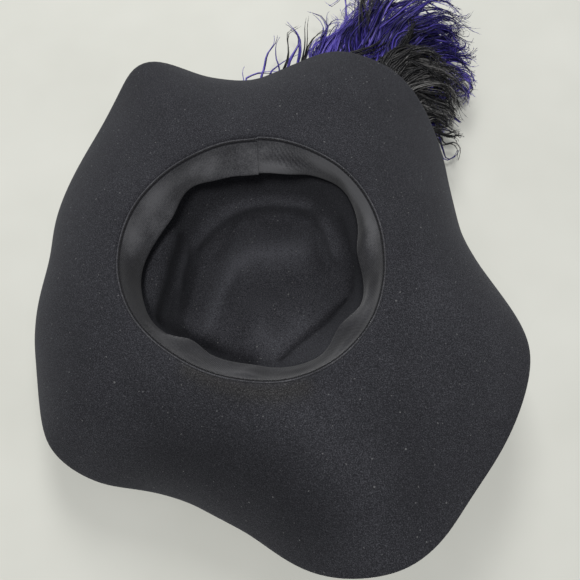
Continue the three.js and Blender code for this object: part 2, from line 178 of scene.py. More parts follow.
# %% Copy a solid as a clean mesh
# Corners closer than WELD become one, and two triangles within FLAT_ENOUGH of one plane a quad.
WELD = 0.00002
FLAT_ENOUGH = math.radians(80)


def select_only(piece):
    bpy.ops.object.select_all(action="DESELECT")
    piece.select_set(True)
    bpy.context.view_layer.objects.active = piece


def copy_of(node, name):
    piece = bpy.data.objects.new(name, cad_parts[node].data.copy())
    bpy.context.scene.collection.objects.link(piece)
    piece.data.materials.clear()
    select_only(piece)
    bpy.ops.object.mode_set(mode="EDIT")
    bpy.ops.mesh.select_all(action="SELECT")
    bpy.ops.mesh.remove_doubles(threshold=WELD)
    bpy.ops.mesh.tris_convert_to_quads(face_threshold=FLAT_ENOUGH, shape_threshold=FLAT_ENOUGH)
    bpy.ops.object.mode_set(mode="OBJECT")
    return piece


def crease_edges(piece, degrees):
    mesh = bmesh.new()
    mesh.from_mesh(piece.data)
    layers = mesh.edges.layers.float
    layer = layers.get("crease_edge") or layers.new("crease_edge")
    limit = math.radians(degrees)
    sharp = [e for e in mesh.edges if len(e.link_faces) == 2 and e.calc_face_angle() > limit]
    for edge in sharp:
        edge[layer] = 1.0
    mesh.to_mesh(piece.data)
    mesh.free()
    return len(sharp)


def smooth_out(piece, levels):
    select_only(piece)
    modifier = piece.modifiers.new("smooth", "SUBSURF")
    modifier.levels = levels
    modifier.render_levels = levels
    bpy.ops.object.modifier_apply(modifier=modifier.name)
    bpy.ops.object.shade_smooth()


def round_edges(piece, width, degrees):
    select_only(piece)
    modifier = piece.modifiers.new("round", "BEVEL")
    modifier.width = width
    modifier.segments = 2
    modifier.limit_method = "ANGLE"
    modifier.angle_limit = math.radians(degrees)
    bpy.ops.object.modifier_apply(modifier=modifier.name)


def triangles(piece):
    piece.data.calc_loop_triangles()
    return len(piece.data.loop_triangles)


# %% Felt body
felt = copy_of("felt_body", "felt_hat")
quads = sum(len(p.vertices) == 4 for p in felt.data.polygons)
print("felt faces:", len(felt.data.polygons), "quads:", quads)
print("creased edges:", crease_edges(felt, 60.0))
smooth_out(felt, 2)

# %% [markdown]
# The blocked solid has the folds of the crown, but softer than use has made them. They are pressed
# in, as with a sculpting brush: every corner near a line of points moves up or down by a
# bell curve of its distance. Both faces of the felt move together, so it keeps its thickness.


# %% Places of the corners
def vectors_of(piece, kind):
    """One vector for each corner of a mesh: "co" is its place in metres, "normal" its direction."""
    vectors = np.empty(len(piece.data.vertices) * 3)
    piece.data.vertices.foreach_get(kind, vectors)
    return vectors.reshape(-1, 3)


def corners_of(piece):
    return vectors_of(piece, "co") / MM


def move_corners(piece, places):
    piece.data.vertices.foreach_set("co", (places * MM).ravel())
    piece.data.update()


def keep_number(piece, name, values):
    """Keeps a number on each corner of a mesh, for the finish to read."""
    layer = piece.data.attributes.new(name, "FLOAT", "POINT")
    layer.data.foreach_set("value", np.asarray(values, np.float32))


def distance_to_line(points, places):
    """Distance from places to a line of points."""
    points = np.asarray(points, float)
    nearest = np.full(len(places), 1e9)
    for start, end in zip(points, points[1:]):
        run = end - start
        share = np.clip((places - start) @ run / (run @ run), 0.0, 1.0)
        nearest = np.minimum(nearest, np.linalg.norm(places - start - share[:, None] * run, axis=1))
    return nearest


def fade(value, start, end):
    """Goes smoothly from 1 at start to 0 at end."""
    share = np.clip((value - start) / (end - start), 0.0, 1.0)
    return 1.0 - share * share * (3.0 - 2.0 * share)


def bell(value):
    """1 at zero, and smoothly down to nothing a little past 2 on either side."""
    return np.exp(-(value**2))


def turn(azimuth, middle):
    """How many degrees an azimuth is past another one, the short way round."""
    return (azimuth - middle + 180.0) % 360.0 - 180.0


# %% Folds of the crown and waves of the brim, with their painted light and shade, in millimetres
# How far the brush lifts the felt towards the hollow, how much painted light it puts on the colour
# (painted shade where negative), how wide it is, and its line. A line in the crown leaves the brim
# alone, and the other way round. Rows that lift nothing are painted light and shade alone.
FOLDS_AND_PAINTED_LIGHT = [
    (1.5, 1.1, 8, [(-66, 4, 28), (-63, 16, 30), (-60, 28, 29)]),
    (5, 0.6, 7.5, [(-54, 45, 19), (-49, 53, 17), (-42, 62, 17), (-33, 69, 17), (-21, 77, 18),
      (-6, 82, 18), (10, 83, 19), (29, 82, 19), (43, 79, 19)]),
    (5, 0.6, 6.5, [(58, 65, 14), (64, 51, 13), (68, 38, 11)]),
    (0.5, 0.8, 7, [(-66, -8, 22), (-67, -20, 18)]),
    (4, 1.15, 14, [(-17, 31, 8), (-4, 40, 10), (12, 40, 9), (29, 43, 10), (40, 46, 8)]),
    (5, 0.75, 9, [(-25, 19, 8), (-32, 4, 7), (-38, -11, 7), (-42, -24, 6), (-48, -33, 3)]),
    (5, 0.55, 12, [(4, -37, 2), (16, -46, 2), (29, -39, 2), (41, -28, 3)]),
    (0, -0.55, 7, [(-61, -8, 6), (-60, 8, 6), (-56, 22, 6)]),
    (0, -0.4, 4.5, [(-46, 33, 3), (-36, 37, 5), (-29, 51, 4), (-24, 65, 4), (-15, 73, 7), (-2, 74, 4),
      (11, 69, 4), (24, 69, 3), (38, 76, 7), (48, 70, 6), (52, 54, 3), (53, 38, 4), (59, 25, 3)]),
    (-2, -2.2, 6, [(-62, 38, 43), (-66, 17, 47), (-69, -2, 47), (-73, -18, 47), (-75, -32, 48)]),
    (-1, -1.7, 3, [(75, -3, 5), (66, -12, 3), (54, -26, 3), (42, -38, 3), (29, -49, 4), (20, -57, 6)]),
    (0, -1.3, 7, [(-72, -35, 39), (-61, -33, 7), (-45, -42, 4), (-27, -48, 3), (-6, -56, 3)]),
    (-1.5, -0.8, 7, [(72, 57, 35), (77, 39, 29), (81, 22, 21), (80, 6, 9)]),
    (0, -0.3, 7, [(-11, -17, 2), (-13, -29, 3), (-17, -37, 3)]),
    # On the brim: painted shade darkens the near brim, and painted light and shade mark its waves.
    (0, -0.75, 34, [(-48, -142, 75), (-21, -145, 82), (15, -157, 89), (33, -174, 89)]),
    (3, 0.2, 24, [(35, -107, 114), (55, -129, 112), (72, -160, 107), (81, -191, 99)]),
    (0, -0.35, 22, [(103, -129, 103), (109, -152, 98), (96, -178, 100)]),
    (0, 0.35, 30, [(132, -34, 105), (161, -52, 92), (176, -79, 82)]),
    (0, -0.15, 24, [(-136, -85, 79), (-101, -86, 101), (-73, -93, 106), (-38, -104, 108)]),
]
# Azimuth and how much further the edge of the brim reaches there, over EDGE_SPAN degrees.
EDGE = [(120, 3.0), (300, 2.6), (342, 2.2), (190, 1.6), (171, -1.4), (230, 1.3), (90, -1.2)]
EDGE_SPAN = 9.0
# The crown lies within OPENING of the middle, its folds start below CROWN_MOUTH, and they are pushed
# towards MIDDLE_OF_HOLLOW.
OPENING = 97.0
CROWN_MOUTH = 75.0
MIDDLE_OF_HOLLOW = (0.0, 0.0, 85.0)
places = corners_of(felt)
before = places.copy()
x, y, z = places.T
reach = np.hypot(x, y)
in_crown = fade(z, 62.0, 76.0) * (reach < OPENING)
on_brim = 1.0 - fade(reach, 102.0, 122.0)
# Painted light: the whole hollow of the crown starts lighter, as if more light reached into it.
lift, wear_and_painted_light = np.zeros(len(z)), 0.5 * in_crown
for rise, shade, width, line in FOLDS_AND_PAINTED_LIGHT:
    starts_inside = line[0][2] < CROWN_MOUTH and np.hypot(*line[0][:2]) < OPENING
    mark = bell(distance_to_line(line, places) / width) * (in_crown if starts_inside else on_brim)
    lift += rise * mark
    wear_and_painted_light += shade * mark
inwards = np.array(MIDDLE_OF_HOLLOW) - places
inwards /= np.linalg.norm(inwards, axis=1)[:, None]
inwards[reach > OPENING] = (0.0, 0.0, 1.0)
places = places + inwards * lift[:, None]
places[:, 2] = np.maximum(places[:, 2], np.minimum(before[:, 2], 0.0))
azimuth = np.degrees(np.arctan2(y, x))
for middle, longer in EDGE:
    bulge = longer * bell(turn(azimuth, middle) / EDGE_SPAN) * (1.0 - fade(reach, 110.0, 190.0))
    places[:, :2] *= (1.0 + bulge / reach)[:, None]
move_corners(felt, places)
print("lift from", round(float(lift.min()), 1), "to", round(float(lift.max()), 1), "mm")

# %% [markdown]
# Light and shade of the folds are painted into the colour too: a painted highlight on each ridge, where
# the nap is also rubbed, and painted shade at the bottom of each crease. That number is kept on the
# mesh, for the finish to read.

# %% Keep the painted light and shade of the folds on the mesh
keep_number(felt, "wear_and_painted_light", wear_and_painted_light)
print("rub from", round(float(wear_and_painted_light.min()), 2), "to", round(float(wear_and_painted_light.max()), 2))

# %% [markdown]
# The felt just outside the near part of the ribbon is worn to a warmer tone by handling. A second
# number on the mesh, dust, says how much, and only on the side that faces up here.

# %% Keep the worn patch on the mesh
DUST = [(-38, -84, 115), (-22, -92, 115), (-3, -98, 115), (18, -100, 115), (36, -96, 115)]
DUST_WIDTH = 7.0
faces_up = vectors_of(felt, "normal")[:, 2] > 0.0
dust = bell(distance_to_line(DUST, places) / DUST_WIDTH) * faces_up
keep_number(felt, "dust", dust)
print("dust on", int((dust > 0.3).sum()), "corners")

# %% Soften the cut edge
round_edges(felt, 0.5 * MM, 50.0)
bpy.ops.object.shade_smooth()
print("felt triangles:", triangles(felt))

# %% [markdown]
# ## How felt looks
#
# Pressed wool has no weave. Close up it is a mottled near-black grey, because single pale hairs
# stand out of it, and it glows a little at grazing angles. Two noises give the mottling, scattered
# specks are the lint that black felt always carries, and sheen gives the nap.

# %% Felt finish
wool = Finish("black_wool_felt")
grain = wool.noise(1350.0, 4.0, 0.6)
patches = wool.noise(28.0, 3.0, 0.5)
grey = wool.sums("MULTIPLY_ADD", patches, 0.07, grain)
# Painted light and shade of the folds, with some rubbed nap, lighten and darken the grey here.
grey = wool.sums("MULTIPLY_ADD", wool.kept("wear_and_painted_light"), 0.105, grey)
greys = [(0.31, 0.0092, 0.0093, 0.0112), (0.54, 0.0266, 0.0268, 0.031), (0.79, 0.09, 0.091, 0.103)]
# The worn patch: the grey times a colour that is a little lighter and warmer.
WARMER = (1.13, 1.09, 0.97, 1.0)
base = wool.mix(wool.kept("dust"), wool.ramp(grey, greys), WARMER, "MULTIPLY")

# Lint: each Voronoi cell has a random colour that makes its speck large, small or none, and a noise
# bends the specks into short threads.
LINT_SCALE = 300.0
LINT_BEND = 0.0016
LINT_COLOUR = (0.13, 0.13, 0.132, 1.0)
frayed = wool.node("ShaderNodeTexNoise", {"Scale": 600.0, "Vector": wool.place}).outputs["Color"]
bend = {0: frayed, 1: (LINT_BEND,) * 3, 2: wool.place}
bent = wool.node("ShaderNodeVectorMath", bend, operation="MULTIPLY_ADD")
cell = wool.node("ShaderNodeTexVoronoi", {"Scale": LINT_SCALE, "Vector": bent.outputs["Vector"]}).outputs
lint_size = wool.sums("MULTIPLY_ADD", cell["Color"], 0.5, cell["Distance"])
lint = wool.ramp(lint_size, [(0.0, 1, 1, 1), (0.18, 1, 1, 1), (0.26, 0, 0, 0)])
nap = {"Sheen Weight": 0.06, "Sheen Roughness": 0.5, "Sheen Tint": (0.8, 0.82, 0.9, 1.0)}
wool.shade(wool.mix(lint, base, LINT_COLOUR), 1.0, {"Specular IOR Level": 0.1, **nap})
wool.bump(grain, 0.5 * MM, 0.6)
felt.data.materials.append(wool.material)
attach(felt, "root")
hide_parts("felt_body")
print("finish of the felt:", wool.material.name)

# %% [markdown]
# ## The sweatband
#
# A grosgrain ribbon is sewn in along its top edge and hangs free below, so its lower edge stands
# off the felt in shallow waves. Its ends lap at the back of the head. The copy of the solid is
# smoothed with its edges creased, and a fine rolled edge and a row of stitches go along the top.

# %% Ribbon
band = copy_of("sweatband", "sweatband_ribbon")
print("creased edges:", crease_edges(band, 50.0))
smooth_out(band, 3)

# %% [markdown]
# Worn ribbon is never smooth. It gets soft lumps that push it inwards, fine slanting wrinkles by the
# lap, and a free edge that is thinner than the folded edge above it. Light and shade are painted into
# its colour as well: highlights on lumps, wrinkles and a stripe under the top edge, and shade on its
# near side.

# %% Wear of the ribbon, and light and shade painted on it
# Azimuth and share of the depth, how wide and tall it is, how far it is pushed in, and how much
# painted light it gets (painted shade where negative, as on the near side of the ribbon).
WEAR_AND_PAINTED_LIGHT = [
    (78, 0.85, 12, 0.22, 0.5, 1.6), (66, 0.45, 7, 0.25, -0.3, -0.5), (52, 0.25, 12, 0.25, 0.6, 1.8),
    (34, 0.25, 12, 0.25, 0.6, 2.0), (12, 0.25, 14, 0.25, 0.4, 1.0), (40, 0.8, 16, 0.25, 0.0, -0.9),
    (16, 0.8, 12, 0.25, 0.0, -1.2), (92, 0.25, 5, 0.2, 0.3, 0.3), (118, 0.5, 9, 0.4, 0.4, 0.4),
    (150, 0.3, 12, 0.3, 0.5, 1.1), (172, 0.2, 8, 0.3, 0.4, 1.4), (192, 0.6, 10, 0.5, 0.0, -1.2),
    (208, 0.6, 10, 0.5, 0.0, -0.9), (350, 0.5, 10, 0.5, 0.0, -1.0), (326, 0.5, 12, 0.5, 0.0, -0.4),
    (292, 0.5, 22, 0.5, 0.0, -0.9), (240, 0.5, 15, 0.5, 0.0, -0.4),
]
RANDOM_LUMPS = 46
# Azimuth and width of a patch of wrinkles, their slant, their pitch and how deep they are.
WRINKLES = [(70, 13, -0.8, 3.6, 0.22), (42, 9, 1.1, 2.8, 0.18)]


# %% Lumps, wrinkles and a thin free edge
places = corners_of(band)
x, y, z = places.T
reach = np.hypot(x, y)
azimuth = np.degrees(np.arctan2(y, x)) % 360.0
# depth is 0 at the sewn top edge of the ribbon and 1 at its free edge, which isn't level.
top = z.max()
lowest = np.array([z[np.abs(turn(azimuth, a)) < 4.0].min() for a in range(360)])
depth = (top - z) / (top - lowest[azimuth.astype(int) % 360])


def lump_at(middle, height, wide, tall):
    return np.exp(-((turn(azimuth, middle) / wide) ** 2) - ((depth - height) / tall) ** 2)


inwards = np.zeros(len(z))
# Painted light: a highlight stripe below the sewn edge, and the far side of the ribbon lighter than the near
# side.
wear_and_painted_light = 0.3 * bell((depth - 0.36) / 0.2) + 0.9 * fade(np.abs(turn(azimuth, 90)), 60.0, 110.0) - 0.3
# Lumps pushed further in get a painted highlight, shallow ones painted shade.
for _ in range(RANDOM_LUMPS):
    middle, height = chance.uniform(0, 360), chance.uniform(0.3, 0.9)
    wide, tall, push = chance.uniform(3.0, 9.0), chance.uniform(0.15, 0.4), chance.uniform(0.3, 1.1)
    lump = lump_at(middle, height, wide, tall)
    inwards += push * lump
    wear_and_painted_light += 0.5 * (push - 0.7) * lump
for middle, height, wide, tall, push, shade in WEAR_AND_PAINTED_LIGHT:
    lump = lump_at(middle, height, wide, tall)
    inwards += push * lump
    wear_and_painted_light += shade * lump
# Wrinkles get a painted highlight on their ridges and painted shade between them.
for middle, wide, slant, pitch, push in WRINKLES:
    patch = np.exp(-((turn(azimuth, middle) / wide) ** 4)) * fade(np.abs(depth - 0.5), 0.2, 0.5)
    ridge = np.sin(2 * math.pi * (reach * np.radians(azimuth) + slant * z) / pitch)
    inwards += push * (1 + ridge) * patch
    wear_and_painted_light += 0.32 * ridge * patch
# Darker along the free edge and in a narrow band at the sewn top edge.
wear_and_painted_light -= 0.6 * (1.0 - fade(depth, 0.9, 1.0)) + 3.0 * fade(depth, 0.0, 0.045)
normals = vectors_of(band, "normal")
outer = (normals[:, 0] * x + normals[:, 1] * y) / reach > 0.3
# The sewn edge stays where it is, and the free edge moves less than the middle.
free = (1.0 - fade(depth, 0.12, 0.4)) * (0.4 + 0.6 * fade(depth, 0.65, 1.0))
inwards = inwards * free + 0.5 * outer * (1.0 - fade(depth, 0.7, 0.98))
places[:, 0] -= x / reach * inwards
places[:, 1] -= y / reach * inwards
places[:, 2] += 3.5 * bell(turn(azimuth, 104) / 30.0) * depth**2
move_corners(band, places)
keep_number(band, "wear_and_painted_light", wear_and_painted_light)
round_edges(band, 0.2 * MM, 50.0)
bpy.ops.object.shade_smooth_by_angle(angle=math.radians(45))
print("ribbon triangles:", triangles(band), "deepest lump:", round(float(inwards.max()), 2), "mm")


# %% Points round the top of the ribbon
def ray_tree(piece):
    return BVHTree.FromPolygons(
        [v.co.copy() for v in piece.data.vertices], [tuple(p.vertices) for p in piece.data.polygons]
    )


band_tree = ray_tree(band)
felt_tree = ray_tree(felt)
band_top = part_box("sweatband")[1].z


def inside_band(degrees, z):
    """The point on the inner face of the ribbon at an azimuth and a height."""
    out = Vector((math.cos(math.radians(degrees)), math.sin(math.radians(degrees)), 0.0))
    hit = band_tree.ray_cast(Vector((0.0, 0.0, z)), out)[0]
    return hit, out


print("ribbon's top edge at", round(band_top, 4))


# %% A tube along a line of points
def tube(name, points, radii, roundness):
    line = bpy.data.curves.new(name, "CURVE")
    line.dimensions = "3D"
    line.bevel_depth = 1.0
    line.bevel_resolution = roundness
    line.use_fill_caps = True
    spline = line.splines.new("POLY")
    spline.points.add(len(points) - 1)
    for point, place, radius in zip(spline.points, points, radii):
        point.co = (*place, 1.0)
        point.radius = radius
    piece = bpy.data.objects.new(name, line)
    bpy.context.scene.collection.objects.link(piece)
    select_only(piece)
    bpy.ops.object.convert(target="MESH")
    piece = bpy.context.active_object
    bpy.ops.object.shade_smooth()
    return piece


# %% Rolled edge of the ribbon
# The azimuth of the lap, in degrees.
SEAM = 88.0
edge_points = []
for degrees in np.linspace(SEAM + 1.5, SEAM + 361.0, 240):
    place, out = inside_band(degrees, band_top - 0.9 * MM)
    edge_points.append(place + out * 1.7 * MM + Vector((0.0, 0.0, 1.0 * MM)))
band_edge = tube("sweatband_edge", edge_points, [0.55 * MM] * len(edge_points), 3)
print("rolled edge:", len(edge_points), "points")

# %% [markdown]
# The stitches are one small rounded bar, repeated round the ribbon. Hundreds of copies are quickest
# to make as one mesh: the bar's corners are written once and moved to each place with its own frame.


# %% Many copies of a few corners as one mesh
def mesh_piece(name, vertices, faces, tones=None):
    data = bpy.data.meshes.new(name)
    data.from_pydata([tuple(v) for v in vertices], [], faces)
    piece = bpy.data.objects.new(name, data)
    if tones is not None:
        keep_number(piece, "tone", tones)
    data.validate()
    bpy.context.scene.collection.objects.link(piece)
    select_only(piece)
    bpy.ops.object.shade_smooth()
    return piece


STITCH = 3.0 * MM
STITCH_STEP = 3.4 * MM
BAND_RADIUS = 90.5 * MM
bar = [(-1, 0, 0)] + [(end, *side) for end in (-0.6, 0.6) for side in ((1, 0), (0, 1), (-1, 0))] + [(1, 0, 0)]
bar_faces = [(0, 2, 1), (0, 3, 2), (0, 1, 3), (1, 2, 5, 4), (2, 3, 6, 5), (3, 1, 4, 6)]
bar_faces += [(4, 5, 7), (5, 6, 7), (6, 4, 7)]
corners, faces = [], []
count = int(2 * math.pi * BAND_RADIUS / STITCH_STEP)
for k in range(count):
    place, out = inside_band(SEAM + 2.0 + 357.0 * k / count, band_top - 1.2 * MM)
    place = place + out * 0.75 * MM + Vector((0.0, 0.0, 1.2 * MM))
    run = Vector((-out.y, out.x, 0.0))
    first = len(corners)
    for x, y, z in bar:
        raised = Vector((0, 0, (z + 0.4) * 0.3 * MM))
        corners.append(place + run * x * STITCH / 2 - out * y * 0.4 * MM + raised)
    faces += [tuple(first + i for i in face) for face in bar_faces]
stitches = mesh_piece("sweatband_stitches", corners, faces)
print("stitches:", count)

# %% [markdown]
# ## How the ribbon looks
#
# Grosgrain has fine ribs across its width, so the height of the surface waves along the ribbon.
# The angle round the hat runs along it, and a sine of many turns gives the ribs.

# %% Ribbon finish
RIBS = 460
grosgrain = Finish("black_grosgrain")
split = grosgrain.node("ShaderNodeSeparateXYZ", {"Vector": grosgrain.place}).outputs
angle = grosgrain.sums("ARCTAN2", split["Y"], split["X"])
ribs = grosgrain.sums("SINE", grosgrain.sums("MULTIPLY", angle, RIBS))
threads = grosgrain.noise(900.0, 3.0)
soiled = grosgrain.noise(40.0, 3.0)
shade = grosgrain.sums("MULTIPLY_ADD", soiled, 0.4, grosgrain.sums("MULTIPLY", threads, 0.6))
shade = grosgrain.sums("MULTIPLY_ADD", ribs, 0.05, shade)
# The ribbon's wear, with its painted light and shade, lightens and darkens the grey here.
shade = grosgrain.sums("MULTIPLY_ADD", grosgrain.kept("wear_and_painted_light"), 0.2, shade)
greys = [(0.3, 0.014, 0.014, 0.0175), (0.54, 0.058, 0.058, 0.0645), (0.85, 0.19, 0.19, 0.2)]
sheen = {"Sheen Weight": 0.16, "Sheen Roughness": 0.4}
grosgrain.shade(grosgrain.ramp(shade, greys), 0.72, {"Specular IOR Level": 0.3, **sheen})
rib_height = grosgrain.sums("MULTIPLY_ADD", ribs, 0.3, grosgrain.sums("MULTIPLY", threads, 0.5))
grosgrain.bump(rib_height, 0.3 * MM, 0.7)

thread = Finish("black_thread")
greys = [(0.3, 0.002, 0.002, 0.003), (0.7, 0.008, 0.008, 0.009)]
thread.shade(thread.ramp(thread.noise(2200.0, 2.0), greys), 0.7)

for piece, finish in ((band, grosgrain), (band_edge, grosgrain), (stitches, thread)):
    piece.data.materials.append(finish.material)
    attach(piece, "root")
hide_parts("sweatband")
print("ribs round the ribbon:", RIBS)

# %% [markdown]
# ## The plumes
#
# An ostrich feather is a quill with soft barbs on both sides, and each barb has fine barbules that
# cling to it, so that it looks like a frayed pointed strand. Hair particles would not survive the
# export, so each barb is a thin tapered tube and each barbule a needle of four triangles. Guide
# strands give the sweep of the feather, and every barb lies between two neighbouring guides.

# %% Quills
# Middle lines of the two quills from where they are pinned to their tips, in millimetres.
PURPLE_QUILL = [
    (-54, 75, 62.5), (-40, 83.5, 63), (-27.5, 94, 61), (-20.7, 109, 56.6), (-13.5, 124, 51.6),
    (-4, 137, 47), (8.5, 149, 44.5), (22.5, 158.5, 43), (37, 167.6, 42.3), (52, 175.7, 42),
    (68, 182, 41), (84, 186.6, 39), (100.6, 191, 36.5), (117.4, 194.4, 36), (134.3, 192.5, 35),
    (149, 184.5, 32), (160, 172, 29),
]
BLACK_QUILL = [
    (-53, 76, 71.5), (-41.5, 83, 72.4), (-29, 88.4, 74.7), (-20, 97.3, 78.5), (-10.7, 107, 80.6),
    (0, 116, 81), (10.6, 124, 80), (22, 131, 79), (34.5, 137, 78.4), (47, 141.6, 78),
    (60.6, 144.3, 77), (74, 145.4, 75), (87.5, 145, 73), (100.7, 143, 70), (113, 139, 66),
    (124, 133.7, 60), (134.6, 127.7, 54),
]


def along(points, share):
    """A place on a line of evenly spaced points, smooth between them."""
    points = np.asarray(points, float)
    last = len(points) - 1
    t = np.clip(np.asarray(share, float), 0.0, 1.0) * last
    i = np.minimum(t.astype(int), last - 1)
    f = (t - i)[..., None]
    before, a, b, after = (points[np.clip(i + k, 0, last)] for k in (-1, 0, 1, 2))
    once, twice, thrice = b - before, 2 * before - 5 * a + 4 * b - after, 3 * a - before - 3 * b + after
    return 0.5 * (2 * a + once * f + twice * f**2 + thrice * f**3)


QUILL_FOOT, QUILL_TIP = 1.9, 0.6
quills = []
for name, points in (("purple_quill", PURPLE_QUILL), ("black_quill", BLACK_QUILL)):
    line = along(points, np.linspace(0, 1, 60)) * MM
    radii = np.linspace(QUILL_FOOT, QUILL_TIP, 60) * MM
    quills.append(tube(name, [Vector(p) for p in line], radii, 2))
print("quills:", [q.name for q in quills])

# %% [markdown]
# ### Guide strands
#
# Each guide is where it leaves the quill, as a share of the quill's length, and the points that it
# passes. The purple feather is the lower one. It fans out past the far edge of the brim and curls
# at its end. The black one lies on it, and its barbs sweep over in an arch to the right.

# %% Guides of the two fans, in millimetres
PURPLE_GUIDES = [
    (0.50, [(54, 235, 34), (57, 243, 38), (68, 255, 42), (79, 261, 42), (86, 261, 38)]),
    (0.54, [(60, 234, 36), (68, 242, 41), (82, 251, 45), (95, 264, 48), (103, 278, 50)]),
    (0.58, [(69, 232, 38), (75, 243, 43), (85, 253, 47), (98, 265, 51), (102, 281, 52), (98, 296, 50)]),
    (0.62, [(80, 231, 40), (85, 243, 45), (92, 256, 49), (106, 272, 52), (122, 286, 52), (136, 302, 50)]),
    (0.65, [(89, 229, 41), (92, 243, 46), (101, 258, 51), (114, 271, 53), (132, 281, 52), (152, 286, 48),
      (165, 296, 47)]),
    (0.68, [(98, 229, 41), (101, 242, 47), (111, 257, 52), (126, 268, 53), (146, 275, 52),
      (167, 275, 49), (185, 270, 45), (198, 280, 44)]),
    (0.72, [(109, 228, 41), (113, 239, 47), (123, 252, 52), (140, 260, 53), (161, 262, 51),
      (180, 259, 47), (196, 260, 43), (206, 270, 42)]),
    (0.76, [(119, 223, 42), (124, 235, 47), (135, 245, 51), (152, 247, 51), (173, 248, 48),
      (189, 249, 44), (204, 255, 40), (213, 262, 39)]),
    (0.80, [(126, 219, 42), (134, 229, 46), (147, 235, 49), (164, 239, 48), (182, 237, 44),
      (199, 236, 40), (211, 245, 38)]),
    (0.84, [(132, 215, 42), (144, 223, 45), (159, 228, 46), (176, 229, 43), (191, 227, 38),
      (205, 223, 34), (210, 215, 30)]),
    (0.87, [(137, 220, 41), (162, 225, 42), (185, 230, 40), (201, 230, 35), (210, 222, 29)]),
    (0.90, [(146, 222, 39), (171, 223, 39), (191, 221, 37), (205, 215, 32), (213, 212, 27)]),
    (0.93, [(158, 204, 36), (173, 216, 36), (187, 216, 35), (199, 207, 31), (211, 205, 27)]),
    (0.96, [(166, 200, 33), (181, 211, 33), (194, 208, 31), (201, 198, 28), (204, 185, 25)]),
    (0.98, [(172, 196, 29), (185, 204, 29), (193, 198, 27), (198, 189, 25), (197, 178, 24)]),
    (1.00, [(175, 185, 26), (187, 188, 25), (193, 180, 24), (197, 167, 22)]),
]
BLACK_GUIDES = [
    (0.68, [(94, 176, 64), (108, 198, 62), (122, 208, 63), (144, 213, 61), (160, 210, 56), (170, 202, 51)]),
    (0.70, [(97, 178, 64), (111, 201, 62), (126, 208, 63), (149, 210, 61), (166, 205, 55), (180, 187, 44)]),
    (0.76, [(104, 172, 65), (117, 194, 62), (132, 202, 62), (153, 205, 59), (168, 198, 54),
      (186, 178, 41)]),
    (0.80, [(111, 169, 63), (124, 187, 61), (138, 195, 61), (156, 195, 57), (170, 189, 51),
      (189, 166, 38)]),
    (0.84, [(117, 165, 62), (129, 183, 60), (145, 187, 58), (162, 187, 54), (175, 179, 48),
      (186, 157, 37)]),
    (0.87, [(124, 162, 59), (134, 177, 57), (149, 180, 56), (165, 177, 51), (176, 169, 46),
      (181, 150, 36)]),
    (0.90, [(130, 158, 55), (141, 170, 54), (154, 172, 52), (167, 169, 48), (176, 160, 43),
      (172, 142, 36)]),
    (0.93, [(135, 153, 53), (146, 165, 50), (157, 164, 48), (169, 161, 45), (175, 153, 41),
      (165, 140, 37)]),
    (0.96, [(140, 148, 49), (151, 156, 47), (160, 155, 44), (169, 150, 40), (167, 143, 37)]),
    (0.98, [(144, 143, 45), (156, 148, 43), (164, 147, 40), (172, 141, 38), (185, 143, 35),
      (195, 151, 34)]),
    (1.00, [(147, 138, 43), (158, 142, 40), (167, 140, 37), (178, 139, 35), (190, 136, 31)]),
]

